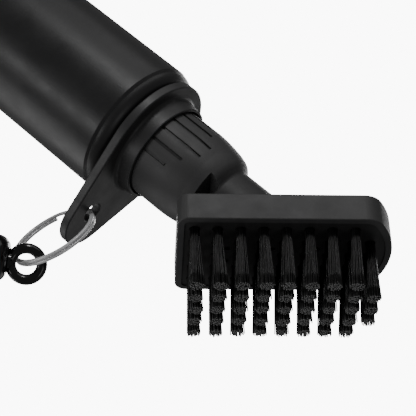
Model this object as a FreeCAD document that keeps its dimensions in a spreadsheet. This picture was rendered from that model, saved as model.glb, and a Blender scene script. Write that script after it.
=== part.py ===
import FreeCAD, Part
import os
import math
import Sketcher

os.makedirs("parts", exist_ok=True)

# Club groove brush: a squeeze bottle whose screw cap carries an angled brush
# block, with a hang tab round the neck, a split ring and a swivel snap hook.
# Millimetres, +Z up, origin at the centre of the bottle's base.

doc = FreeCAD.newDocument("groove_brush")
V = FreeCAD.Vector
Rot = FreeCAD.Rotation

# ---------------------------------------------------------------- dimensions
DIMS = [
    ("bottle_rad", 22.8), ("bottle_wall", 1.5), ("base_round", 3.0),
    ("groove_in", 15.5), ("groove_out", 16.5), ("groove_deep", 0.6),
    ("crease_z", 107.7), ("crease_deep", 0.5), ("shoulder_z", 111.5), ("shoulder_flat", 18.3),
    ("neck_root", 12.55), ("neck_bore", 10.3), ("neck_top", 128.0),
    ("thread_crest", 13.6), ("thread_pitch", 4.23), ("thread_low", 118.4), ("thread_rise", 5.3),
    ("tab_bottom", 111.9), ("tab_thick", 3.0), ("tab_ring", 21.2), ("tab_bore", 14.2),
    ("tip_x", -27.8), ("tip_y", -12.0), ("tip_rad", 10.5),
    ("hole_x", -26.9), ("hole_y", -10.1), ("hole_rad", 3.3), ("hole_chamfer", 0.2),
    ("collar_bore", 15.7), ("collar_base", 16.9), ("collar_blend", 1.3), ("collar_lip", 16.5), ("collar_top", 120.0),
    ("liner_in", 10.4), ("liner_out", 13.3), ("liner_thick", 1.5), ("liner_gap", 0.05),
    ("skirt_rad", 15.0), ("skirt_bore", 13.95), ("skirt_bottom", 115.4), ("skirt_top", 130.0), ("cap_ceiling", 129.6),
    ("cone_rad", 14.19), ("cone_top", 137.6), ("brow_rad", 13.2), ("brow_z", 141.7), ("end_rad", 11.7), ("end_z", 143.7),
    ("cap_thread_crest", 12.95), ("chamber_rad", 9.8), ("chamber_top", 137.5),
    ("stem_rad", 10.35), ("stem_high", 175.0), ("channel_x", 4.0), ("channel_rad", 3.0),
    ("notch_low", 141.0), ("notch_top", 145.0), ("notch_x", -2.7), ("notch_round", 1.6),
    ("slot_wide", 1.0), ("slot_deep", 0.45), ("slot_low", 117.0),
    ("slot_short", 129.1), ("slot_mid", 132.4), ("slot_long", 135.9),
    ("head_z", 120.0), ("head_tilt", -45.0),
    ("block_back", 28.6), ("block_face", 37.5), ("block_heel", 2.7), ("block_toe", 66.5),
    ("block_half", 19.2), ("toe_bulge", 6.7), ("heel_round", 3.5), ("toe_round", 6.0),
    ("edge_round", 0.5), ("block_wall", 2.0), ("block_roof", 2.0),
    ("plate_gap", 0.1), ("plate_back", 33.8), ("plate_face", 37.15), ("plate_seat", 33.75),
    ("tuft_root", 34.7), ("tuft_tip", 56.4), ("tuft_rad", 1.5), ("tuft_tip_rad", 2.3), ("tuft_hole", 1.55),
    ("hole_floor", 34.65), ("column_first", 7.7), ("column_pitch", 6.63), ("column_last", 59.3), ("row_pitch", 6.6),
    ("outlet_rad", 0.8), ("staple_wide", 2.5), ("staple_thick", 0.35), ("staple_high", 1.2),
    ("slit_thick", 0.45), ("slit_high", 1.3),
    ("coil_mean", 13.3), ("coil_wide", 1.3), ("coil_thick", 1.0), ("coil_gap", 0.1), ("coil_span", 304.0),
    ("eye_mean", 4.72), ("eye_wire", 1.64), ("eye_foot", 2.6), ("shank_rad", 2.0), ("rivet_rad", 3.2),
    ("foot_low", 4.0), ("foot_high", 6.6), ("rivet_low", 12.0), ("rivet_high", 13.2),
    ("swivel_rad", 7.25), ("swivel_mouth", 3.9), ("swivel_bore", 2.07), ("swivel_cavity", 3.5),
    ("swivel_face", 5.5), ("swivel_round", 3.4), ("mouth_floor", 7.0), ("cavity_top", 11.9), ("swivel_end", 15.4),
    ("hook_half", 9.5), ("hook_bar", 4.0), ("hook_thick", 6.0), ("hook_neck", 13.5), ("hook_base", 16.8),
    ("hook_bow", 36.0), ("hook_tip", 32.5), ("lug_x", 6.2), ("lug_z", 16.5), ("lug_rad", 2.35), ("lug_slot", 3.4),
    ("pin_rad", 0.97), ("pin_hole", 1.0), ("gate_hole", 1.04),
    ("gate_low", 19.0), ("gate_high", 35.0), ("gate_thick", 4.8), ("tongue_low", -1.5), ("tongue_wide", 1.5),
    ("spring_in", 1.25), ("spring_wire", 0.45), ("spring_pitch", 0.55), ("spring_leg", 1.9),
]
VAL = {}
sheet = doc.addObject("Spreadsheet::Sheet", "Dims")
sheet.Label = "Dims"
for i, (name, value) in enumerate(DIMS):
    sheet.set("A%d" % (i + 1), name)
    sheet.set("B%d" % (i + 1), repr(float(value)))
    sheet.setAlias("B%d" % (i + 1), name)
    VAL[name] = float(value)
doc.recompute()


class Q:
    """A number together with the sheet expression that gives it."""

    def __init__(self, v, t):
        self.v = float(v)
        self.t = t

    def _o(self, other):
        return other if isinstance(other, Q) else Q(other, "(%r)" % float(other))

    def __add__(self, o):
        o = self._o(o)
        return Q(self.v + o.v, "(%s + %s)" % (self.t, o.t))

    __radd__ = __add__

    def __sub__(self, o):
        o = self._o(o)
        return Q(self.v - o.v, "(%s - %s)" % (self.t, o.t))

    def __rsub__(self, o):
        return self._o(o) - self

    def __mul__(self, o):
        o = self._o(o)
        return Q(self.v * o.v, "(%s * %s)" % (self.t, o.t))

    __rmul__ = __mul__

    def __truediv__(self, o):
        o = self._o(o)
        return Q(self.v / o.v, "(%s / %s)" % (self.t, o.t))

    def __neg__(self):
        return Q(-self.v, "(0 - %s)" % self.t)


def q(name):
    return Q(VAL[name], "Dims." + name)


def num(x):
    return x.v if isinstance(x, Q) else float(x)


def bind(obj, prop, x):
    """Bind a property to the sheet when the value comes from it."""
    if isinstance(x, Q):
        obj.setExpression(prop, x.t)
    else:
        setattr(obj, prop, x)


# ------------------------------------------------------------ sketch helpers
def plane(body, role):
    return [f for f in body.Origin.OriginFeatures if f.Role == role][0]


def new_body(label):
    b = doc.addObject("PartDesign::Body", label)
    b.Label = label
    return b


def sketch(body, name, role, offset=None):
    s = body.newObject("Sketcher::SketchObject", name)
    s.AttachmentSupport = [(plane(body, role), "")]
    s.MapMode = "FlatFace"
    if offset is not None:
        s.AttachmentOffset = offset
    return s


def point_dims(geo, pos, x, y):
    """Constraints that fix a sketch point, each with its sheet expression."""
    out = []
    for axis, kind, value in ((-2, "DistanceX", x), (-1, "DistanceY", y)):
        if abs(num(value)) < 1e-9:
            out.append((Sketcher.Constraint("PointOnObject", geo, pos, axis), None))
        else:
            out.append((Sketcher.Constraint(kind, -1, 1, geo, pos, num(value)), value.t if isinstance(value, Q) else None))
    return out


def constrain(sk, items):
    """Add a batch of constraints, then bind their sizes."""
    first = sk.ConstraintCount
    sk.addConstraint([c for c, t in items])
    for i, (c, t) in enumerate(items):
        if t is not None:
            sk.setExpression("Constraints[%d]" % (first + i), t)


def pin_point(sk, geo, pos, x, y):
    constrain(sk, point_dims(geo, pos, x, y))


def loop(sk, pts):
    """A closed outline. Each entry is (x, y) or (x, y, rise), where rise is
    the arc's height over the chord to the next point, left of it positive."""
    n = len(pts)
    ids, items = [], []
    for i in range(n):
        a, b = pts[i], pts[(i + 1) % n]
        pa = V(num(a[0]), num(a[1]), 0)
        pb = V(num(b[0]), num(b[1]), 0)
        if len(a) > 2 and a[2] is not None:
            rise = num(a[2])
            d = pb - pa
            left = V(-d.y, d.x, 0).normalize()
            mid = (pa + pb) * 0.5 + left * rise
            g = sk.addGeometry(Part.Arc(pa, mid, pb), False)
            first = 1 if (sk.getPoint(g, 1) - pa).Length < 1e-6 else 2
            ids.append((g, first, 3 - first))
            items.append((Sketcher.Constraint("Radius", g, sk.Geometry[g].Radius), None))
        else:
            g = sk.addGeometry(Part.LineSegment(pa, pb), False)
            ids.append((g, 1, 2))
    for i in range(n):
        g, s0, e0 = ids[i]
        g2, s2, e2 = ids[(i + 1) % n]
        items.append((Sketcher.Constraint("Coincident", g, e0, g2, s2), None))
        items.extend(point_dims(g, s0, pts[i][0], pts[i][1]))
    constrain(sk, items)
    return ids


def circles(sk, centres, r):
    """Equal circles at the given centres."""
    items = []
    for x, y in centres:
        g = sk.addGeometry(Part.Circle(V(num(x), num(y), 0), V(0, 0, 1), num(r)), False)
        items.extend(point_dims(g, 3, x, y))
        items.append((Sketcher.Constraint("Radius", g, num(r)), r.t if isinstance(r, Q) else None))
    constrain(sk, items)


def circle(sk, x, y, r):
    circles(sk, [(x, y)], r)


def revolve(body, sk, name, axis="V_Axis", angle=360.0, groove=False):
    f = body.newObject("PartDesign::Groove" if groove else "PartDesign::Revolution", name)
    f.Profile = sk
    f.ReferenceAxis = (sk, [axis])
    bind(f, "Angle", angle)
    doc.recompute()
    return f


def pad(body, sk, name, length, mid=False, rev=False):
    f = body.newObject("PartDesign::Pad", name)
    f.Profile = sk
    f.SideType = "Symmetric" if mid else "One side"
    f.Reversed = rev
    bind(f, "Length", length)
    doc.recompute()
    return f


def pocket(body, sk, name, length, mid=False, rev=False):
    before = body.Shape.Volume
    f = body.newObject("PartDesign::Pocket", name)
    f.Profile = sk
    f.SideType = "Symmetric" if mid else "One side"
    f.Reversed = rev
    bind(f, "Length", length)
    doc.recompute()
    if not body.Shape.Volume < before - 1e-6:
        raise RuntimeError(name + " cuts nothing")
    return f


def up(z, angle=0.0):
    """Attachment offset: z along the plane's normal, then a turn."""
    return FreeCAD.Placement(V(0, 0, z), Rot(V(0, 0, 1), angle))


def offset_z(sk, z):
    """Bind the sketch's height over its plane to the sheet."""
    sk.AttachmentOffset = FreeCAD.Placement(V(0, 0, num(z)), sk.AttachmentOffset.Rotation)
    if isinstance(z, Q):
        sk.setExpression("AttachmentOffset.Base.z", z.t)


# ----------------------------------------------------------------- bottle
def helix_ridge(name, pitch, rise, z0, root, crest, half_root, half_crest, inward):
    """One thread ridge: a trapezoid swept along a right-hand helix."""
    hel = doc.addObject("Part::Helix", name + "_path")
    bind(hel, "Pitch", pitch)
    bind(hel, "Height", rise)
    bind(hel, "Radius", root)
    prof = doc.addObject("Sketcher::SketchObject", name + "_profile")
    prof.Placement = FreeCAD.Placement(V(0, 0, 0), Rot(V(1, 0, 0), 90))
    r0, r1 = (root, crest)
    loop(prof, [(r0, -half_root), (r1, -half_crest), (r1, half_crest), (r0, half_root)] if not inward else
         [(r1, -half_crest), (r0, -half_root), (r0, half_root), (r1, half_crest)])
    doc.recompute()
    sw = doc.addObject("Part::Sweep", name)
    sw.Sections = [prof]
    sw.Spine = (hel, [])
    sw.Solid = True
    sw.Frenet = True
    sw.Placement = FreeCAD.Placement(V(0, 0, num(z0)), Rot())
    sw.setExpression("Placement.Base.z", z0.t)
    doc.recompute()
    return sw


R, w = q("bottle_rad"), q("bottle_wall")
bot = new_body("bottle_blank")
sk = sketch(bot, "bottle_section", "XZ_Plane")
cz, cd, sz, sf = q("crease_z"), q("crease_deep"), q("shoulder_z"), q("shoulder_flat")
loop(sk, [
    (0, 0), (q("groove_in"), 0), (q("groove_in"), q("groove_deep")), (q("groove_out"), q("groove_deep")),
    (q("groove_out"), 0), (R - q("base_round"), 0, -0.8787), (R, q("base_round")),
    (R, cz - 0.9), (R - cd, cz), (R - cd + 0.12, cz + 0.35, -1.0), (sf, sz),
    (q("neck_root") + 0.8, sz, 0.2343), (q("neck_root"), sz + 0.8),
    (q("neck_root"), q("neck_top") - 0.4), (q("neck_root") - 0.4, q("neck_top")), (q("neck_bore") + 0.3, q("neck_top")),
    (q("neck_bore"), q("neck_top") - 0.3), (q("neck_bore"), sz - w), (sf - 0.4, sz - w, 0.70), (R - w, sz - 5.3),
    (R - w, q("base_round") + 0.6, 0.7), (R - q("base_round") - 0.9, w + 0.4), (0, w + 0.4),
])
revolve(bot, sk, "bottle_turn")
neck_thread = helix_ridge("neck_thread", q("thread_pitch"), q("thread_rise"), q("thread_low"),
                          q("neck_root") - 0.15, q("thread_crest"), 0.95, 0.45, False)
bottle = doc.addObject("Part::Fuse", "bottle_body")
bottle.Base = bot
bottle.Tool = neck_thread
bottle.Label = "bottle_body"

# ---------------------------------------------------------------- hang tab
tab = new_body("hang_tab")
A = V(0, 0, 0)
B = V(VAL["tip_x"], VAL["tip_y"], 0)
ra, rb = VAL["tab_ring"], VAL["tip_rad"]
dist = B.Length
base_ang = math.atan2(B.y, B.x)
lean = math.acos((ra - rb) / dist)
pts = []
for sgn in (1, -1):
    u = V(math.cos(base_ang + sgn * lean), math.sin(base_ang + sgn * lean), 0)
    pts.append((A + u * ra, B + u * rb))
far = B + V(math.cos(base_ang), math.sin(base_ang), 0) * rb
near = A - V(math.cos(base_ang), math.sin(base_ang), 0) * ra
sk = sketch(tab, "tab_outline", "XY_Plane")
offset_z(sk, q("tab_bottom"))
g1 = sk.addGeometry(Part.Arc(pts[1][0], near, pts[0][0]), False)
g2 = sk.addGeometry(Part.LineSegment(pts[0][0], pts[0][1]), False)
g3 = sk.addGeometry(Part.Arc(pts[0][1], far, pts[1][1]), False)
g4 = sk.addGeometry(Part.LineSegment(pts[1][1], pts[1][0]), False)


def touching(sk, g, p):
    return 1 if (sk.getPoint(g, 1) - p).Length < 1e-5 else 2


for (ga, gb, p) in ((g1, g2, pts[0][0]), (g2, g3, pts[0][1]), (g3, g4, pts[1][1]), (g4, g1, pts[1][0])):
    sk.addConstraint(Sketcher.Constraint("Tangent", ga, touching(sk, ga, p), gb, touching(sk, gb, p)))
sk.addConstraint(Sketcher.Constraint("Coincident", g1, 3, -1, 1))
k = sk.addConstraint(Sketcher.Constraint("Radius", g1, ra))
sk.setExpression("Constraints[%d]" % k, "Dims.tab_ring")
k = sk.addConstraint(Sketcher.Constraint("Radius", g3, rb))
sk.setExpression("Constraints[%d]" % k, "Dims.tip_rad")
pin_point(sk, g3, 3, q("tip_x"), q("tip_y"))
pad(tab, sk, "tab_plate", q("tab_thick"))
tt = q("tab_bottom") + q("tab_thick")
sk = sketch(tab, "collar_section", "XZ_Plane")
cb = q("collar_blend")
loop(sk, [(q("tab_bore") + 0.2, tt - 1.0), (q("collar_base") + cb, tt - 0.5), (q("collar_base") + cb, tt, cb * 0.29289),
          (q("collar_base"), tt + cb), (q("collar_lip"), q("collar_top") - 0.3, -0.088),
          (q("collar_lip") - 0.3, q("collar_top")), (q("tab_bore") + 0.2, q("collar_top"))])
revolve(tab, sk, "collar_turn")
sk = sketch(tab, "tab_bore_circle", "XY_Plane")
offset_z(sk, q("tab_bottom") - 1.0)
circle(sk, 0, 0, q("tab_bore"))
pocket(tab, sk, "tab_bore_cut", 20.0, rev=True)
sk = sketch(tab, "collar_bore_circle", "XY_Plane")
offset_z(sk, tt)
circle(sk, 0, 0, q("collar_bore"))
pocket(tab, sk, "collar_bore_cut", 20.0, rev=True)
sk = sketch(tab, "tab_hole_circle", "XY_Plane")
offset_z(sk, q("tab_bottom") - 1.0)
circle(sk, q("hole_x"), q("hole_y"), q("hole_rad"))
pocket(tab, sk, "tab_hole_cut", 6.0, rev=True)
doc.recompute()
edges = []
for i, e in enumerate(tab.Shape.Edges):
    c = e.Curve
    if c.TypeId == "Part::GeomCircle" and abs(c.Radius - VAL["hole_rad"]) < 1e-4 and abs(c.Center.x - VAL["hole_x"]) < 1e-3:
        edges.append("Edge%d" % (i + 1))
prior = tab.Tip
ch = tab.newObject("PartDesign::Chamfer", "tab_hole_lead")
ch.Base = (prior, edges)
bind(ch, "Size", q("hole_chamfer"))
doc.recompute()
edges = []
for i, e in enumerate(tab.Shape.Edges):
    bb = e.BoundBox
    if bb.ZMax - bb.ZMin < 1e-4 and (abs(bb.ZMax - tt.v) < 1e-3 or abs(bb.ZMax - VAL["tab_bottom"]) < 1e-3):
        c = e.Curve
        mid = e.valueAt((e.FirstParameter + e.LastParameter) / 2)
        rad = math.hypot(mid.x, mid.y)
        if rad > VAL["tab_ring"] - 0.2 and math.hypot(mid.x - VAL["hole_x"], mid.y - VAL["hole_y"]) > 6:
            edges.append("Edge%d" % (i + 1))
prior = tab.Tip
fl = tab.newObject("PartDesign::Fillet", "tab_rim_round")
fl.Base = (prior, edges)
fl.Radius = 0.5
doc.recompute()

# ------------------------------------------------------------ sealing washer
lin = new_body("cap_liner")
sk = sketch(lin, "liner_section", "XZ_Plane")
z0 = q("neck_top") + q("liner_gap")
loop(sk, [(q("liner_in"), z0), (q("liner_out"), z0), (q("liner_out"), z0 + q("liner_thick")), (q("liner_in"), z0 + q("liner_thick"))])
revolve(lin, sk, "liner_turn")

# ------------------------------------------------- brush head: cap and stem
cap = new_body("head_socket")
sk = sketch(cap, "socket_section", "XZ_Plane")
st, sb = q("skirt_rad"), q("skirt_bore")
loop(sk, [
    (sb, q("skirt_bottom")), (st - 0.3, q("skirt_bottom")), (st, q("skirt_bottom") + 0.3), (st, q("skirt_top"), -0.18),
    (q("cone_rad"), q("cone_top"), -0.12), (q("brow_rad"), q("brow_z"), -0.22), (q("end_rad"), q("end_z")),
    (q("stem_rad") + 0.35, q("end_z") + 0.9, 0.05), (q("stem_rad"), q("end_z") + 1.6),
    (q("stem_rad"), q("stem_high")), (0, q("stem_high")), (0, q("chamber_top")),
    (q("chamber_rad") - 1.0, q("chamber_top"), 0.29), (q("chamber_rad"), q("chamber_top") - 1.0),
    (q("chamber_rad"), q("cap_ceiling")), (sb, q("cap_ceiling")),
])
revolve(cap, sk, "socket_turn")
# slanting notch behind the cap, on the heel side of the stem
sk = sketch(cap, "notch_section", "XZ_Plane")
nr = q("notch_round")
loop(sk, [(-q("stem_rad") - 6.0, q("notch_low")), (q("notch_x"), q("notch_low")), (q("notch_x"), q("notch_top") - nr, nr * -0.29289),
          (q("notch_x") - nr, q("notch_top")), (-q("stem_rad") - 6.0, q("notch_top"))])
pocket(cap, sk, "notch_cut", 40.0, mid=True)
# narrow grip slots, an arched set on the front and another on the back
drop = math.tan((VAL["skirt_rad"] - VAL["cone_rad"]) / (VAL["cone_top"] - VAL["skirt_top"]))
floor = q("skirt_rad") - q("slot_deep")
count = 0
for ang, top in ((130.0, "slot_short"), (113.5, "slot_mid"), (97.0, "slot_long"), (79.5, "slot_long"), (62.0, "slot_mid"), (45.5, "slot_short")):
    for side in (1.0, -1.0):
        count += 1
        a = ang * side
        t = q(top) - q("slot_wide") / 2
        over = max(0.0, t.v - VAL["skirt_top"])
        fall = over * drop
        sk = sketch(cap, "slot_section_%d" % count, "XZ_Plane", FreeCAD.Placement(V(0, 0, 0), Rot(V(0, 1, 0), a)))
        if over > 0.3:
            loop(sk, [(floor, q("slot_low")), (st + 2.0, q("slot_low")), (st + 2.0, t), (floor - fall, t), (floor, q("skirt_top"))])
        else:
            loop(sk, [(floor, q("slot_low")), (st + 2.0, q("slot_low")), (st + 2.0, t), (floor, t)])
        pocket(cap, sk, "slot_cut_%d" % count, q("slot_wide"), mid=True)
        sk = sketch(cap, "slot_end_%d" % count, "XZ_Plane",
                    FreeCAD.Placement(V(math.cos(math.radians(a)) * (floor.v - fall), 0, -math.sin(math.radians(a)) * (floor.v - fall)), Rot(V(0, 1, 0), a + 90.0)))
        circle(sk, 0, t, q("slot_wide") / 2)
        try:
            pocket(cap, sk, "slot_round_%d" % count, 5.0, rev=False)
        except RuntimeError:
            cap.Tip.Reversed = True
            doc.recompute()
doc.recompute()

head_place = FreeCAD.Placement(V(0, 0, VAL["head_z"]), Rot(V(0, 1, 0), VAL["head_tilt"]))


def tilt(obj):
    obj.Placement = head_place
    obj.setExpression("Placement.Base.z", "Dims.head_z")


def block_outline(sk, inset=0.0):
    """Heel end square with small corners, toe end a shallow arc whose corners
    are rounded tangent to both it and the sides."""
    hl = q("block_heel") + inset
    hf = q("block_half") - inset
    te = q("block_toe") - q("toe_bulge")
    ins = num(inset)
    hr = max(VAL["heel_round"] - ins, 0.6)
    tr = VAL["toe_round"] - ins
    half, sag = VAL["block_half"], VAL["toe_bulge"]
    big0 = (half * half + sag * sag) / (2 * sag)
    cx = VAL["block_toe"] - big0
    big = big0 - ins
    half -= ins
    fy = half - tr
    fx = cx + math.sqrt((big - tr) ** 2 - fy * fy)
    n = math.hypot(fx - cx, fy)
    ax, ay = cx + (fx - cx) / n * big, fy / n * big
    chord = math.hypot(ax - fx, half - ay)
    rise = tr - math.sqrt(tr * tr - chord * chord / 4)
    xs = Q(fx, "(%s + %r)" % (te.t, fx - te.v))
    xa = Q(ax, "(%s + %r)" % (te.t, ax - te.v))
    ya = Q(ay, "(%s - %r)" % (hf.t, half - ay))
    bow = big - math.sqrt(big * big - ay * ay)
    heel = hr * 0.29289321881
    loop(sk, [
        (hl + hr, -hf), (xs, -hf, -rise), (xa, -ya, -bow), (xa, ya, -rise), (xs, hf),
        (hl + hr, hf, -heel), (hl, hf - hr), (hl, -hf + hr, -heel),
    ])


blk = new_body("head_block")
sk = sketch(blk, "block_outline", "XY_Plane")
offset_z(sk, q("block_back"))
block_outline(sk)
pad(blk, sk, "block_pad", q("block_face") - q("block_back"))
edges = []
for i, e in enumerate(blk.Shape.Edges):
    bb = e.BoundBox
    if bb.ZMax - bb.ZMin < 1e-5 and abs(bb.ZMax - VAL["block_back"]) < 1e-4:
        edges.append("Edge%d" % (i + 1))
prior = blk.Tip
fl = blk.newObject("PartDesign::Fillet", "back_round")
fl.Base = (prior, edges)
bind(fl, "Radius", q("edge_round"))
doc.recompute()
edges = []
for i, e in enumerate(blk.Shape.Edges):
    bb = e.BoundBox
    if bb.ZMax - bb.ZMin < 1e-5 and abs(bb.ZMax - VAL["block_face"]) < 1e-4:
        edges.append("Edge%d" % (i + 1))
prior = blk.Tip
fl = blk.newObject("PartDesign::Fillet", "rim_round")
fl.Base = (prior, edges)
fl.Radius = 0.4
doc.recompute()
sk = sketch(blk, "plate_seat_outline", "XY_Plane")
offset_z(sk, q("plate_seat"))
block_outline(sk, q("block_wall"))
pocket(blk, sk, "plate_seat_cut", 10.0, rev=True)
sk = sketch(blk, "chamber_outline", "XY_Plane")
offset_z(sk, q("block_back") + q("block_roof"))
block_outline(sk, q("block_wall") + 1.4)
pocket(blk, sk, "chamber_cut", 10.0, rev=True)
tilt(blk)
doc.recompute()

trim = doc.addObject("Part::Box", "stem_trim")
trim.Length = 200
trim.Width = 100
trim.Height = 60
trim.Placement = head_place.multiply(FreeCAD.Placement(V(-70, -50, VAL["block_back"] + 1.0), Rot()))
cut = doc.addObject("Part::Cut", "socket_trimmed")
cut.Base = cap
cut.Tool = trim
cap_thread = helix_ridge("cap_thread", q("thread_pitch"), q("thread_rise"), q("thread_low") - q("thread_pitch") / 2 + 0.0,
                         q("skirt_bore") + 0.15, q("cap_thread_crest"), 0.8, 0.35, True)
bore = doc.addObject("Part::Cylinder", "water_channel")
bind(bore, "Radius", q("channel_rad"))
bore.Height = 60
bore.Placement = FreeCAD.Placement(V(VAL["channel_x"], 0, VAL["chamber_top"] - 2.0), Rot())
bore.setExpression("Placement.Base.x", "Dims.channel_x")
bore.setExpression("Placement.Base.z", "Dims.chamber_top - 2")
stopbox = doc.addObject("Part::Box", "channel_stop")
stopbox.Length = 200
stopbox.Width = 100
stopbox.Height = 60
stopbox.Placement = head_place.multiply(FreeCAD.Placement(V(-70, -50, VAL["block_back"] + 4.0), Rot()))


def boolean(kind, name, base, tool):
    o = doc.addObject(kind, name)
    o.Base = base
    o.Tool = tool
    doc.recompute()
    return o


chan = boolean("Part::Cut", "channel_tool", bore, stopbox)
socket_bored = boolean("Part::Cut", "socket_bored", cut, chan)
block_bored = boolean("Part::Cut", "block_bored", blk, chan)
joined = boolean("Part::Fuse", "head_joined", socket_bored, block_bored)
shell = boolean("Part::Fuse", "brush_head_shell", joined, cap_thread)
shell.Label = "brush_head_shell"
doc.recompute()

# ------------------------------------------------------------ bristle plate
COLS = []
for c in range(9):
    COLS.append((q("column_first") + q("column_pitch") * float(c) if c < 8 else q("column_last"), (-2, -1, 0, 1, 2) if c < 8 else (-1, 0, 1)))
pl = new_body("bristle_plate")
sk = sketch(pl, "plate_outline", "XY_Plane")
offset_z(sk, q("plate_back"))
block_outline(sk, q("block_wall") + q("plate_gap"))
pad(pl, sk, "plate_pad", q("plate_face") - q("plate_back"))
sk = sketch(pl, "tuft_holes", "XY_Plane")
offset_z(sk, q("hole_floor"))
circles(sk, [(px, q("row_pitch") * float(r) if r else 0) for px, rows in COLS for r in rows], q("tuft_hole"))
pocket(pl, sk, "tuft_holes_cut", 10.0, rev=True)
sk = sketch(pl, "outlet_holes", "XY_Plane")
offset_z(sk, q("plate_back") - 1.0)
circles(sk, [(q("column_first") + q("column_pitch") * (c + 0.5), q("row_pitch") * (r * 0.5)) for c in (1, 3, 5) for r in (-1.0, 1.0)], q("outlet_rad"))
pocket(pl, sk, "outlet_holes_cut", 10.0, rev=True)
tilt(pl)

# ------------------------------------------------------------------- tufts
tufts = []
for c, (px, rows) in enumerate(COLS):
    label = "tuft_column_%d" % (c + 1)
    b = new_body(label)
    y0 = q("row_pitch") * float(rows[0])
    sk = sketch(b, label + "_section", "XZ_Plane")
    sk.AttachmentOffset = FreeCAD.Placement(V(px.v, 0, -y0.v), Rot())
    sk.setExpression("AttachmentOffset.Base.x", px.t)
    sk.setExpression("AttachmentOffset.Base.z", (-y0).t)
    loop(sk, [(0, q("tuft_root")), (q("tuft_rad"), q("tuft_root")), (q("tuft_rad"), q("plate_face")),
              (q("tuft_tip_rad"), q("tuft_tip") - 0.5, -0.1), (q("tuft_tip_rad") - 0.5, q("tuft_tip")), (0, q("tuft_tip"))])
    revolve(b, sk, label + "_turn")
    sk = sketch(b, label + "_slit", "YZ_Plane")
    sk.AttachmentOffset = FreeCAD.Placement(V(y0.v, 0, px.v), Rot())
    sk.setExpression("AttachmentOffset.Base.x", y0.t)
    sk.setExpression("AttachmentOffset.Base.z", px.t)
    hw = q("slit_thick") / 2
    loop(sk, [(-hw, q("tuft_root") - 0.5), (hw, q("tuft_root") - 0.5), (hw, q("tuft_root") + q("slit_high")), (-hw, q("tuft_root") + q("slit_high"))])
    slit = pocket(b, sk, label + "_slit_cut", 8.0, mid=True)
    pat = b.newObject("PartDesign::LinearPattern", label + "_rows")
    pat.Originals = [o for o in b.Group if o.TypeId in ("PartDesign::Revolution", "PartDesign::Pocket")]
    pat.Direction = (plane(b, "Y_Axis"), [""])
    pat.Length = (len(rows) - 1) * VAL["row_pitch"]
    pat.setExpression("Length", "Dims.row_pitch * %d" % (len(rows) - 1))
    pat.Occurrences = len(rows)
    b.Tip = pat
    tilt(b)
    tufts.append(b)
doc.recompute()
# wire staples folded into the tuft roots: eight full columns and the toe one
stp = new_body("tuft_staples")
sw, sth = q("staple_wide") / 2, q("staple_thick") / 2


def staple(name, px, y0):
    sk = sketch(stp, name + "_outline", "XY_Plane")
    offset_z(sk, q("tuft_root") + 0.02)
    loop(sk, [(px - sw, y0 - sth), (px + sw, y0 - sth), (px + sw, y0 + sth), (px - sw, y0 + sth)])
    return pad(stp, sk, name, q("staple_high"))


def row_pattern(name, feats, role, length, count):
    pat = stp.newObject("PartDesign::LinearPattern", name)
    pat.Originals = feats
    pat.Direction = (plane(stp, role), [""])
    pat.Length = length.v
    pat.setExpression("Length", length.t)
    pat.Occurrences = count
    stp.Tip = pat
    return pat


made = []
for r in (-2, -1, 0, 1, 2):
    f = staple("staple_row_%d" % (r + 3), COLS[0][0], q("row_pitch") * float(r) if r else Q(0, "0"))
    made.append(f)
row_pattern("staple_columns", made, "X_Axis", q("column_pitch") * 7.0, 8)
doc.recompute()
for r in (-1, 0, 1):
    staple("staple_toe_%d" % (r + 3), COLS[8][0], q("row_pitch") * float(r) if r else Q(0, "0"))
tilt(stp)
doc.recompute()

# --------------------------------------------------------------- split ring
ring_c = V(-40.870, -10.986, 112.670)
rn = V(0.02221, -0.76610, 0.64234)
rx = V(0.99538, 0.07701, 0.05742)
rn.normalize()
rx = (rx - rn * rx.dot(rn)).normalize()
ry = rn.cross(rx)


def frame_of(x, y, z, origin):
    mat = FreeCAD.Matrix(x.x, y.x, z.x, origin.x, x.y, y.y, z.y, origin.y, x.z, y.z, z.z, origin.z, 0, 0, 0, 1)
    return FreeCAD.Placement(mat)


ring_place = frame_of(rx, ry, rn, ring_c)
ring = new_body("split_ring")
START, SPAN = 358.0, VAL["coil_span"]


def rect(sk, cx, cz, hw, hz):
    loop(sk, [(cx - hw, cz - hz), (cx + hw, cz - hz), (cx + hw, cz + hz), (cx - hw, cz + hz)])


lift = (q("coil_thick") + q("coil_gap")) / 2
for name, s in (("lower", -1.0), ("upper", 1.0)):
    sk = sketch(ring, name + "_coil_section", "XZ_Plane", FreeCAD.Placement(V(0, 0, 0), Rot(V(0, 1, 0), START)))
    rect(sk, q("coil_mean"), lift * s, q("coil_wide") / 2, q("coil_thick") / 2)
    revolve(ring, sk, name + "_coil", angle=q("coil_span"))
secs = []
STEPS = 8
for i in range(STEPS + 1):
    f = i / STEPS
    a = START + SPAN + (360.0 - SPAN) * f
    s = f * f * (3 - 2 * f) * 2 - 1
    sk = sketch(ring, "crossover_%d" % i, "XZ_Plane", FreeCAD.Placement(V(0, 0, 0), Rot(V(0, 1, 0), a)))
    rect(sk, q("coil_mean"), lift * s, q("coil_wide") / 2, q("coil_thick") / 2)
    secs.append(sk)
doc.recompute()
lo = ring.newObject("PartDesign::AdditiveLoft", "crossover")
lo.Profile = secs[0]
lo.Sections = secs[1:]
lo.Ruled = False
doc.recompute()
ring.Placement = ring_place

# -------------------------------------------------- swivel eye and snap hook
# local frame: origin at the eye's centre, +Z along the swivel away from the
# eye, Y across the hook's thickness
eye_c = V(-54.12, -9.80, 114.88)
ez = V(-0.569, 0.064, -0.818)
ez.normalize()
ey = V(0.4416, -0.8170, -0.3709)
ey = (ey - ez * ey.dot(ez)).normalize()
ex = ey.cross(ez)
hook_place = frame_of(ex, ey, ez, eye_c)

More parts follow.
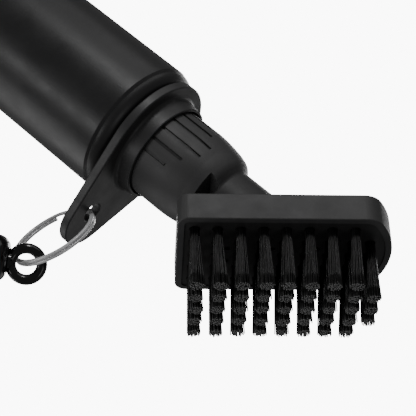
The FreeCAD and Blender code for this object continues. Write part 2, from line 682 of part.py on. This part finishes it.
eye = new_body("swivel_eye")
sk = sketch(eye, "eye_wire_circle", "XY_Plane")
circle(sk, q("eye_mean"), 0, q("eye_wire"))
revolve(eye, sk, "eye_turn")
sk = sketch(eye, "shank_section", "XZ_Plane")
sr = q("shank_rad")
loop(sk, [(0, q("foot_low")), (q("eye_foot") - 0.5, q("foot_low"), None), (q("eye_foot"), q("foot_low") + 0.6), (q("eye_foot"), q("foot_high")),
          (sr, q("foot_high") + 0.3), (sr, q("rivet_low")), (q("rivet_rad"), q("rivet_low")),
          (q("rivet_rad"), q("rivet_high") - 0.4), (q("rivet_rad") - 0.5, q("rivet_high")), (0, q("rivet_high"))])
revolve(eye, sk, "shank_turn")
eye.Placement = hook_place

hook = new_body("hook_body")
H2 = q("hook_half")
sk = sketch(hook, "hook_outline", "XZ_Plane")
hb = H2 - q("hook_bar")
lx, lz, lr = q("lug_x"), q("lug_z"), q("lug_rad")
loop(sk, [
    (-q("swivel_rad") + 0.3, q("hook_neck")), (q("swivel_rad") - 0.3, q("hook_neck")),
    (lx + lr, lz), (lx, lz + lr), (lx - lr, lz), (2.6, q("hook_base")), (-hb + 1.6, q("hook_base"), None), (-hb, q("hook_base") + 1.6),
    (-hb, q("hook_bow"), hb * 0.29289), (0, q("hook_bow") + hb, hb * 0.29289), (hb, q("hook_bow")),
    (hb, q("hook_tip") + 0.3), (hb + 0.3, q("hook_tip")), (H2 - 0.8, q("hook_tip")), (H2, q("hook_tip") + 0.8),
    (H2, q("hook_bow"), H2 * -0.29289), (0, q("hook_bow") + H2, H2 * -0.29289), (-H2, q("hook_bow")),
    (-H2, q("hook_neck") + 4.0),
])
pad(hook, sk, "hook_plate", q("hook_thick"), mid=True)
sk = sketch(hook, "lug_round_section", "XZ_Plane")
circle(sk, lx, lz, lr)
pad(hook, sk, "lug_round", q("hook_thick"), mid=True)
sk = sketch(hook, "swivel_section", "XZ_Plane")
sr2 = q("swivel_rad")
loop(sk, [(0, q("swivel_face")), (q("swivel_mouth") + 0.3, q("swivel_face"), -0.9), (sr2, q("swivel_face") + 4.0),
          (sr2, q("swivel_end") - 1.0), (sr2 - 1.0, q("swivel_end")), (0, q("swivel_end"))])
revolve(hook, sk, "swivel_turn")
sk = sketch(hook, "swivel_bore_section", "XZ_Plane")
loop(sk, [(0, 0), (q("swivel_mouth"), 0), (q("swivel_mouth"), q("mouth_floor") - 0.6), (q("swivel_mouth") - 0.6, q("mouth_floor")), (q("swivel_bore"), q("mouth_floor")),
          (q("swivel_bore"), q("cavity_top")), (q("swivel_cavity"), q("cavity_top")), (q("swivel_cavity"), 25.0), (0, 25.0)])
revolve(hook, sk, "swivel_bore_cut", groove=True)
sk = sketch(hook, "lug_slot_section", "XZ_Plane")
loop(sk, [(lx - lr - 0.45, 12.6), (lx + 6.0, 12.6), (lx + 6.0, lz + lr + 0.2), (lx - lr - 0.45, lz + lr + 0.2)])
pocket(hook, sk, "lug_slot_cut", q("lug_slot"), mid=True)
sk = sketch(hook, "pin_hole_circle", "XZ_Plane")
circle(sk, lx, lz, q("pin_hole"))
pocket(hook, sk, "pin_hole_cut", 20.0, mid=True)
hook.Placement = hook_place

gate = new_body("hook_gate")
sk = sketch(gate, "gate_outline", "XZ_Plane")
gl, gh = q("gate_low"), q("gate_high")
loop(sk, [(lx - 1.6, gl), (lx + 2.4, gl), (lx + 2.9, gl + 0.8), (hb - 0.35, q("hook_tip") - 2.5), (hb - 0.15, q("hook_tip") - 1.0), (hb - 0.15, gh - 0.6), (hb - 0.75, gh),
          (hb - 1.9, gh), (hb - 2.5, gh - 0.8), (lx - 1.9, gl + 2.5)])
pad(gate, sk, "gate_bar", q("gate_thick"), mid=True)
sk = sketch(gate, "tongue_outline", "XZ_Plane", up(0))
offset_z(sk, -q("tongue_low") - q("tongue_wide"))
loop(sk, [(lx - 1.5, lz), (lx + 1.5, lz), (lx + 1.5, gl + 0.5), (lx - 1.5, gl + 0.5)])
pad(gate, sk, "tongue_pad", q("tongue_wide"))
sk = sketch(gate, "tongue_round_circle", "XZ_Plane", up(0))
offset_z(sk, -q("tongue_low") - q("tongue_wide"))
circle(sk, lx, lz, 1.9)
pad(gate, sk, "tongue_round", q("tongue_wide"))
sk = sketch(gate, "gate_hole_circle", "XZ_Plane")
circle(sk, lx, lz, q("gate_hole"))
pocket(gate, sk, "gate_hole_cut", 20.0, mid=True)
gate.Placement = hook_place

pin = new_body("gate_pin")
sk = sketch(pin, "pin_circle", "XZ_Plane")
circle(sk, lx, lz, q("pin_rad"))
pad(pin, sk, "pin_pad", q("hook_thick") - 0.1, mid=True)
pin.Placement = hook_place

# torsion spring round the gate pin: two close turns of square wire, one leg
# on the hook's base and one behind the gate
spr = new_body("gate_spring")
sk = sketch(spr, "spring_section", "XZ_Plane")
si, swd, spt = q("spring_in"), q("spring_wire"), q("spring_pitch")
loop(sk, [(si, 0), (si + swd, 0), (si + swd, swd), (si + swd - 0.08, (swd + spt) / 2), (si + swd, spt), (si + swd, spt + swd), (si, spt + swd)])
revolve(spr, sk, "spring_turns")
sk = sketch(spr, "leg_low_section", "XY_Plane")
loop(sk, [(si + 0.06, -q("spring_leg")), (si + swd - 0.04, -q("spring_leg")), (si + swd - 0.04, 0.15), (si + 0.06, 0.15)])
pad(spr, sk, "leg_low", swd)
sk = sketch(spr, "leg_high_section", "XY_Plane")
offset_z(sk, spt)
loop(sk, [(si + 0.06, -0.15), (si + swd - 0.04, -0.15), (si + swd - 0.04, q("spring_leg")), (si + 0.06, q("spring_leg"))])
pad(spr, sk, "leg_high", swd)
# the coil's axis lies along the pin, in the free half of the lug slot
spr.Placement = hook_place.multiply(FreeCAD.Placement(V(VAL["lug_x"], 0.4, VAL["lug_z"]), Rot(V(1, 0, 0), -90).multiply(Rot(V(0, 0, 1), 180))))
doc.recompute()

# ------------------------------------------------------------ check, export
nodes = {"bottle_body": bottle, "hang_tab": tab, "cap_liner": lin, "brush_head_shell": shell, "bristle_plate": pl,
         "tuft_staples": stp, "split_ring": ring, "swivel_eye": eye, "hook_body": hook, "hook_gate": gate,
         "gate_pin": pin, "gate_spring": spr}
for b in tufts:
    nodes[b.Label] = b
doc.recompute()
bad = []
for o in doc.Objects:
    if "Invalid" in o.State or "Error" in o.State:
        bad.append(o.Name + " " + ",".join(o.State))
for name, o in nodes.items():
    if o.Shape.isNull() or not o.Shape.isValid():
        bad.append(name + " shape")
if bad:
    raise RuntimeError("failed objects: " + "; ".join(bad))
for name, o in nodes.items():
    shp = o.Shape
    print(name, len(shp.Solids), "solid(s)", round(shp.Volume, 1), "mm3", [round(v, 1) for v in (shp.BoundBox.XMin, shp.BoundBox.YMin, shp.BoundBox.ZMin, shp.BoundBox.XMax, shp.BoundBox.YMax, shp.BoundBox.ZMax)])
    shp.exportStep("parts/" + name + ".step")
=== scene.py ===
import math
import random

import bmesh
import bpy
from mathutils import Matrix, Vector


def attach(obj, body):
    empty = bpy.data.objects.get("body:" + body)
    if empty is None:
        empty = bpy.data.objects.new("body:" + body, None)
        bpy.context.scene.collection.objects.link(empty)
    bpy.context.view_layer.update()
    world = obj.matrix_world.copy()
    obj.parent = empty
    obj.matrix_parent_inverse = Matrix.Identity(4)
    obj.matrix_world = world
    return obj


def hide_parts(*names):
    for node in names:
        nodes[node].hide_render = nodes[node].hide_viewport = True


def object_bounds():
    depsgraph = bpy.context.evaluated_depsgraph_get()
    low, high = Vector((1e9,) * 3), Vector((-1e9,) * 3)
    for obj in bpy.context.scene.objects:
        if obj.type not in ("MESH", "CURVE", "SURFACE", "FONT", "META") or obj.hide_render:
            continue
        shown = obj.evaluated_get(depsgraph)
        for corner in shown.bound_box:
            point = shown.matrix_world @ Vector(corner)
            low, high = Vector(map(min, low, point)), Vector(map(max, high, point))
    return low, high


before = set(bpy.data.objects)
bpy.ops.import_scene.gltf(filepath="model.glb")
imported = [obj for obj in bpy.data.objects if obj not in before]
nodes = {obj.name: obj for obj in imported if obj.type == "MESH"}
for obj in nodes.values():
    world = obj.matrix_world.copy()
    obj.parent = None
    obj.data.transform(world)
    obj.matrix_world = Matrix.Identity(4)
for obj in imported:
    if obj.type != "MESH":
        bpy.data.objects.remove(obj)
CAD_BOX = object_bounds()


# ---------------------------------------------------------------- materials
class Mat:
    """A small helper round one procedural node material."""

    def __init__(self, name, color, rough, metallic=0.0, spec=0.5, coat=0.0, coat_rough=0.1, aniso=0.0):
        self.m = bpy.data.materials.new(name)
        self.m.use_nodes = True
        self.nt = self.m.node_tree
        self.nt.nodes.clear()
        self.out = self.nt.nodes.new("ShaderNodeOutputMaterial")
        self.p = self.nt.nodes.new("ShaderNodeBsdfPrincipled")
        self.nt.links.new(self.p.outputs[0], self.out.inputs[0])
        self.p.inputs["Base Color"].default_value = (*color, 1)
        self.p.inputs["Roughness"].default_value = rough
        self.p.inputs["Metallic"].default_value = metallic
        self.p.inputs["Specular IOR Level"].default_value = spec
        self.p.inputs["Coat Weight"].default_value = coat
        self.p.inputs["Coat Roughness"].default_value = coat_rough
        self.p.inputs["Anisotropic"].default_value = aniso
        self.co = self.nt.nodes.new("ShaderNodeTexCoord").outputs["Object"]

    def node(self, kind, **kw):
        n = self.nt.nodes.new(kind)
        for k, v in kw.items():
            setattr(n, k, v)
        return n

    def link(self, a, b):
        self.nt.links.new(a, b)

    def noise(self, scale, detail=3.0, rough=0.55, stretch=None, distort=0.0):
        n = self.node("ShaderNodeTexNoise")
        n.inputs["Scale"].default_value = scale
        n.inputs["Detail"].default_value = detail
        n.inputs["Roughness"].default_value = rough
        n.inputs["Distortion"].default_value = distort
        if stretch is not None:
            mp = self.node("ShaderNodeMapping")
            mp.inputs["Scale"].default_value = stretch
            self.link(self.co, mp.inputs[0])
            self.link(mp.outputs[0], n.inputs["Vector"])
        else:
            self.link(self.co, n.inputs["Vector"])
        return n.outputs["Fac"]

    def ramp(self, fac, stops):
        r = self.node("ShaderNodeValToRGB")
        el = r.color_ramp.elements
        while len(el) < len(stops):
            el.new(0.5)
        for e, (pos, col) in zip(el, stops):
            e.position = pos
            e.color = (*col, 1) if len(col) == 3 else col
        self.link(fac, r.inputs[0])
        return r.outputs[0]

    def span(self, fac, lo, hi, a=0.0, b=1.0):
        r = self.node("ShaderNodeMapRange")
        r.inputs["From Min"].default_value = a
        r.inputs["From Max"].default_value = b
        r.inputs["To Min"].default_value = lo
        r.inputs["To Max"].default_value = hi
        self.link(fac, r.inputs[0])
        return r.outputs[0]

    def math(self, op, a, b=None):
        n = self.node("ShaderNodeMath", operation=op)
        for i, v in enumerate((a, b)):
            if v is None:
                continue
            if isinstance(v, (int, float)):
                n.inputs[i].default_value = v
            else:
                self.link(v, n.inputs[i])
        return n.outputs[0]

    def color(self, sock):
        self.link(sock, self.p.inputs["Base Color"])

    def rough(self, sock):
        self.link(sock, self.p.inputs["Roughness"])

    def bump(self, height, strength, dist, prev=None):
        b = self.node("ShaderNodeBump")
        b.inputs["Strength"].default_value = strength
        b.inputs["Distance"].default_value = dist
        self.link(height, b.inputs["Height"])
        if prev is not None:
            self.link(prev, b.inputs["Normal"])
        self.link(b.outputs[0], self.p.inputs["Normal"])
        return b.outputs[0]

    def wear(self, radius_lo=0.46, radius_hi=0.56):
        """1 on convex edges, 0 elsewhere."""
        g = self.node("ShaderNodeNewGeometry")
        return self.span(g.outputs["Pointiness"], 0.0, 1.0, radius_lo, radius_hi)


def plastic(name, base, light, rough, grain=2600.0, grain_h=0.00004, scratch=0.0, spec=0.5, edge=0.6):
    """Moulded plastic: fine grain, faint flow mottling, rubbed edges."""
    m = Mat(name, base, rough, spec=spec)
    mott = m.noise(45.0, 4.0, 0.6)
    fine = m.noise(900.0, 2.0, 0.5)
    col = m.ramp(m.math("ADD", m.math("MULTIPLY", mott, 0.7), m.math("MULTIPLY", fine, 0.3)), [(0.3, base), (0.75, light)])
    w = m.wear()
    mix = m.node("ShaderNodeMix", data_type="RGBA")
    mix.inputs[7].default_value = (*[min(1, c * 2.1 + 0.01) for c in light], 1)
    m.link(m.math("MULTIPLY", w, edge), mix.inputs[0])
    m.link(col, mix.inputs[6])
    m.color(mix.outputs[2])
    r = m.span(m.noise(120.0, 5.0, 0.65), rough - 0.06, rough + 0.07, 0.3, 0.7)
    m.rough(r)
    n = m.bump(m.noise(grain, 2.0, 0.6), 0.35, grain_h)
    if scratch > 0:
        s = m.noise(60.0, 2.0, 0.5, stretch=(18.0, 18.0, 0.6), distort=0.4)
        s = m.ramp(s, [(0.60, (0, 0, 0)), (0.64, (1, 1, 1)), (0.66, (0, 0, 0))])
        m.bump(s, scratch, 0.00005, prev=n)
    return m.m


def metal(name, base, rough, stretch=(40.0, 40.0, 40.0), grain=0.25, metallic=1.0):
    m = Mat(name, base, rough, metallic=metallic)
    mott = m.noise(160.0, 4.0, 0.6)
    m.color(m.ramp(mott, [(0.3, tuple(c * 0.82 for c in base)), (0.7, base)]))
    m.rough(m.span(m.noise(500.0, 3.0, 0.6), rough * 0.7, rough * 1.5, 0.3, 0.7))
    m.bump(m.noise(30.0, 2.0, 0.5, stretch=stretch), grain, 0.00003)
    return m.m


M = {}
M["bottle"] = plastic("bottle_satin", (0.010, 0.010, 0.0105), (0.016, 0.016, 0.0165), 0.36, grain=1500.0, grain_h=0.00003, scratch=0.12)
M["tab"] = plastic("tab_satin", (0.020, 0.020, 0.0205), (0.030, 0.030, 0.0305), 0.42, grain=1800.0, grain_h=0.00004, scratch=0.08)
M["head"] = plastic("head_grain", (0.030, 0.030, 0.0305), (0.042, 0.042, 0.0425), 0.52, grain=2200.0, grain_h=0.00006, scratch=0.06)
M["plate"] = plastic("plate_grain", (0.008, 0.008, 0.008), (0.012, 0.012, 0.012), 0.5, grain=2200.0, grain_h=0.00006)
M["seal"] = plastic("seal_foam", (0.55, 0.55, 0.53), (0.7, 0.7, 0.68), 0.8, grain=900.0, grain_h=0.0002, edge=0.0)
# Split ring: near-white base colour with metallic only 0.2, so the wire reads mostly as a white diffuse surface.
# That is a painted reflection standing in for the bright studio mirrored in the nickel-plated steel; the mottling on
# top is real tone.
M["ring"] = metal("ring_nickel_painted_reflection", (0.96, 0.96, 0.97), 0.24, stretch=(2.0, 2.0, 8.0), grain=0.02, metallic=0.2)
M["pin"] = metal("pin_steel", (0.5, 0.5, 0.51), 0.28)


def enamel(name):
    m = Mat(name, (0.006, 0.006, 0.0065), 0.16, spec=0.5, coat=0.35, coat_rough=0.06)
    m.color(m.ramp(m.noise(70.0, 4.0, 0.6), [(0.3, (0.004, 0.004, 0.0045)), (0.75, (0.009, 0.009, 0.0095))]))
    m.rough(m.span(m.noise(220.0, 4.0, 0.6), 0.10, 0.24, 0.3, 0.7))
    m.bump(m.noise(260.0, 3.0, 0.6), 0.3, 0.00008)
    return m.m


M["enamel"] = enamel("hook_enamel")


def nylon(name):
    """Filament: dark nylon with a lighter cut tip and strand to strand change."""
    m = Mat(name, (0.008, 0.008, 0.008), 0.34, spec=0.5)
    att = m.node("ShaderNodeAttribute", attribute_name="strand")
    tip = m.node("ShaderNodeAttribute", attribute_name="cut")
    col = m.ramp(att.outputs["Fac"], [(0.0, (0.004, 0.004, 0.004)), (0.7, (0.010, 0.010, 0.010)), (1.0, (0.022, 0.022, 0.022))])
    mix = m.node("ShaderNodeMix", data_type="RGBA")
    mix.inputs[7].default_value = (0.42, 0.42, 0.42, 1)
    m.link(tip.outputs["Fac"], mix.inputs[0])
    m.link(col, mix.inputs[6])
    m.color(mix.outputs[2])
    m.rough(m.span(m.noise(700.0, 2.0, 0.5), 0.26, 0.46, 0.3, 0.7))
    m.bump(m.noise(300.0, 2.0, 0.5, stretch=(8.0, 8.0, 8.0)), 0.2, 0.00003)
    return m.m


M["nylon"] = nylon("bristle_nylon")

LOOK = {"bottle_body": "bottle", "hang_tab": "tab", "cap_liner": "seal", "brush_head_shell": "head", "bristle_plate": "plate",
        "tuft_staples": "pin", "split_ring": "ring", "swivel_eye": "enamel", "hook_body": "enamel", "hook_gate": "enamel",
        "gate_pin": "pin", "gate_spring": "pin"}
for n, k in LOOK.items():
    ob = nodes[n]
    if not ob.material_slots:
        ob.data.materials.append(M[k])
    for s in ob.material_slots:
        s.material = M[k]

# ---------------------------------------------------------------- bristles
HEAD = Matrix.Translation((0, 0, 0.120)) @ Matrix.Rotation(math.radians(-45.0), 4, "Y")
COL_FIRST, COL_PITCH, COL_LAST, ROW_PITCH = 0.0077, 0.00663, 0.0593, 0.0066
FACE, ROOT, TIP = 0.03715, 0.0350, 0.0564
TOP = CAD_BOX[1][2] - 0.00005
rng = random.Random(41)


def spots(radius, pitch):
    """Hexagonal packing of filament centres in a round hole."""
    out = []
    n = int(radius / pitch) + 2
    for i in range(-n, n + 1):
        for j in range(-n, n + 1):
            x = (i + 0.5 * (j % 2)) * pitch
            y = j * pitch * 0.866
            if x * x + y * y <= radius * radius:
                out.append((x, y))
    return out


def filament(bm, lay_s, lay_c, pts, rad, strand, sides=6):
    rings = []
    up = Vector((0, 0, 1))
    for k, p in enumerate(pts):
        a = pts[max(k - 1, 0)]
        b = pts[min(k + 1, len(pts) - 1)]
        d = (b - a).normalized()
        u = d.cross(Vector((0, 1, 0))).normalized()
        v = d.cross(u)
        ring = []
        for s in range(sides):
            t = 2 * math.pi * s / sides
            ring.append(bm.verts.new(p + (u * math.cos(t) + v * math.sin(t)) * rad))
        rings.append(ring)
    for r0, r1 in zip(rings, rings[1:]):
        for s in range(sides):
            f = bm.faces.new((r0[s], r0[(s + 1) % sides], r1[(s + 1) % sides], r1[s]))
            f.smooth = True
    f1 = bm.faces.new(list(reversed(rings[0])))
    for ring in rings:
        for vtx in ring:
            vtx[lay_s] = strand
            vtx[lay_c] = 0.0
    # a cut end: its own ring so that only the cap is light
    tip = []
    for s in range(sides):
        t = 2 * math.pi * s / sides
        tip.append(bm.verts.new(p + (u * math.cos(t) + v * math.sin(t)) * rad * 0.88))
    for s in range(sides):
        bm.faces.new((rings[-1][s], rings[-1][(s + 1) % sides], tip[(s + 1) % sides], tip[s]))
    bm.faces.new(tip)
    for vtx in tip:
        vtx[lay_s] = strand
        vtx[lay_c] = 1.0


def tuft(bm, lay_s, lay_c, px, py, lean):
    base = spots(0.00133, 0.00034)
    turn = rng.uniform(0, math.pi)
    lx = lean + rng.uniform(-0.0002, 0.0002)
    ly = rng.uniform(-0.0002, 0.0002)
    for (x, y) in base:
        xr = x * math.cos(turn) - y * math.sin(turn)
        yr = x * math.sin(turn) + y * math.cos(turn)
        spread = 1.60 + rng.uniform(-0.12, 0.12)
        jx, jy = rng.gauss(0, 0.0001), rng.gauss(0, 0.0001)
        tz = TIP - abs(rng.gauss(0, 0.00018)) - 0.00002
        tx = xr * spread + lx + jx
        ty = yr * spread + ly + jy
        bow = rng.uniform(-0.00012, 0.00012)
        pts = []
        steps = (0.0, 0.1, 0.3, 0.55, 0.8, 1.0)
        for s in steps:
            z = ROOT + (tz - ROOT) * s
            k = 0.0 if z < FACE else ((z - FACE) / (tz - FACE))
            e = k ** 1.15
            pts.append(HEAD @ Vector((px + xr * (1 - e) + tx * e + bow * math.sin(math.pi * k), py + yr * (1 - e) + ty * e, z)))
        over = pts[-1].z - TOP + 0.0003
        if over > 0:
            for i, s in enumerate(steps):
                pts[i] = pts[i] - Vector((over * s, 0, over * s))
        strand = rng.random()
        filament(bm, lay_s, lay_c, pts, rng.uniform(0.000160, 0.000182), strand)


for c in range(9):
    rows = (-2, -1, 0, 1, 2) if c < 8 else (-1, 0, 1)
    bm = bmesh.new()
    ls = bm.verts.layers.float.new("strand")
    lc = bm.verts.layers.float.new("cut")
    for r in rows:
        px = COL_FIRST + COL_PITCH * c if c < 8 else COL_LAST
        tuft(bm, ls, lc, px, ROW_PITCH * r, 0.00045 - 0.00017 * c if c < 8 else -0.0004)
    me = bpy.data.meshes.new("bristles_%d" % (c + 1))
    bm.to_mesh(me)
    bm.free()
    ob = bpy.data.objects.new("bristles_%d" % (c + 1), me)
    bpy.context.scene.collection.objects.link(ob)
    me.materials.append(M["nylon"])
    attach(ob, "head")
    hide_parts("tuft_column_%d" % (c + 1))


# -------------------------------------------------------------- split ring
RING_C = Vector((-0.040870, -0.010986, 0.112670))
RING_N = Vector((0.02221, -0.76610, 0.64234)).normalized()
RING_X = Vector((0.99538, 0.07701, 0.05742))
RING_X = (RING_X - RING_N * RING_X.dot(RING_N)).normalized()
RING_Y = RING_N.cross(RING_X)


def split_ring():
    """One flattened wire wound twice: lower turn, a short crossing, upper turn."""
    bm = bmesh.new()
    rings = []
    start, cross, end = 358.0, 662.0, 1022.0
    steps = 220
    for i in range(steps + 1):
        a = start + (end - start) * i / steps
        t = min(1.0, max(0.0, (a - cross) / 56.0))
        z = 0.00055 * (t * t * (3 - 2 * t) * 2 - 1)
        ca, sa = math.cos(math.radians(a)), math.sin(math.radians(a))
        out = RING_X * ca + RING_Y * sa
        ring = []
        for k in range(20):
            w = 2 * math.pi * k / 20
            cx, cy = math.cos(w), math.sin(w)
            ex = math.copysign(abs(cx) ** 0.62, cx) * 0.00064
            ey = math.copysign(abs(cy) ** 0.62, cy) * 0.00049
            ring.append(bm.verts.new(RING_C + out * (0.0133 + ex) + RING_N * (z + ey)))
        rings.append(ring)
    for r0, r1 in zip(rings, rings[1:]):
        for k in range(20):
            f = bm.faces.new((r0[k], r1[k], r1[(k + 1) % 20], r0[(k + 1) % 20]))
            f.smooth = True
    bm.faces.new(rings[0])
    bm.faces.new(list(reversed(rings[-1])))
    bmesh.ops.recalc_face_normals(bm, faces=bm.faces)
    me = bpy.data.meshes.new("split_ring_wire")
    bm.to_mesh(me)
    bm.free()
    ob = bpy.data.objects.new("split_ring_wire", me)
    bpy.context.scene.collection.objects.link(ob)
    me.materials.append(M["ring"])
    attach(ob, "ring")
    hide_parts("split_ring")


split_ring()


# ------------------------------------------------- camera, backdrop, lights
R = Vector((0.6914, 0.0464, 0.7209))
U = Vector((0.5718, 0.5748, -0.5854))
B = Vector((-0.4416, 0.8170, 0.3709))
CAM = Vector((-0.18882, 0.33903, 0.29717))
rot = Matrix(((R.x, U.x, B.x), (R.y, U.y, B.y), (R.z, U.z, B.z)))
cam_data = bpy.data.cameras.new("camera")
cam_data.sensor_width = 36.0
cam_data.lens = 119.02
cam_data.clip_start = 0.01
cam = bpy.data.objects.new("camera", cam_data)
cam.matrix_world = Matrix.Translation(CAM) @ rot.to_4x4()
bpy.context.scene.collection.objects.link(cam)
bpy.context.scene.camera = cam



def backdrop():
    """A white studio sheet well behind the object, square to the camera."""
    me = bpy.data.meshes.new("backdrop")
    c = CAM - B * 3.6
    h = 0.66
    me.from_pydata([c - R * h - U * h, c + R * h - U * h, c + R * h + U * h, c - R * h + U * h], [], [(0, 1, 2, 3)])
    ob = bpy.data.objects.new("backdrop", me)
    bpy.context.scene.collection.objects.link(ob)
    m = Mat("backdrop_white", (0.9, 0.9, 0.9), 0.8, spec=0.2)
    m.color(m.ramp(m.noise(3.0, 2.0, 0.5), [(0.3, (0.88, 0.88, 0.88)), (0.7, (0.92, 0.92, 0.92))]))
    m.p.inputs["Emission Color"].default_value = (1, 1, 1, 1)
    m.p.inputs["Emission Strength"].default_value = 9.5
    me.materials.append(m.m)


backdrop()
TARGET = Vector((-0.01, 0.0, 0.135))


def panel(name, az, el, dist, size, power):
    """A soft light at a compass bearing and height round the object, in degrees."""
    a, e = math.radians(az), math.radians(el)
    d = bpy.data.lights.new(name, "AREA")
    d.shape = "RECTANGLE"
    d.size, d.size_y = size
    d.energy = power
    ob = bpy.data.objects.new(name, d)
    way = Vector((math.cos(a) * math.cos(e), math.sin(a) * math.cos(e), math.sin(e)))
    ob.location = TARGET + way * dist
    ob.rotation_euler = (-way).to_track_quat("-Z", "Y").to_euler()
    bpy.context.scene.collection.objects.link(ob)
    return ob


panel("key", 72, -20, 0.9, (0.14, 0.14), 1.5)
panel("strip", 156, -22, 0.8, (0.16, 0.7), 1.1)
panel("right", 42, -18, 0.9, (0.8, 0.7), 1.2)
panel("toe", -42, -8, 0.8, (0.35, 0.4), 1.5)
panel("left", 215, -20, 0.9, (0.6, 0.8), 1.9)
panel("far", -62, 24, 0.9, (0.6, 0.4), 0.24)
panel("front", 118, 60, 0.9, (0.4, 0.2), 0.3)

world = bpy.data.worlds.new("studio")
world.use_nodes = True
bg = world.node_tree.nodes["Background"]
bg.inputs["Color"].default_value = (1.0, 1.0, 1.0, 1)
bg.inputs["Strength"].default_value = 0.12
bpy.context.scene.world = world
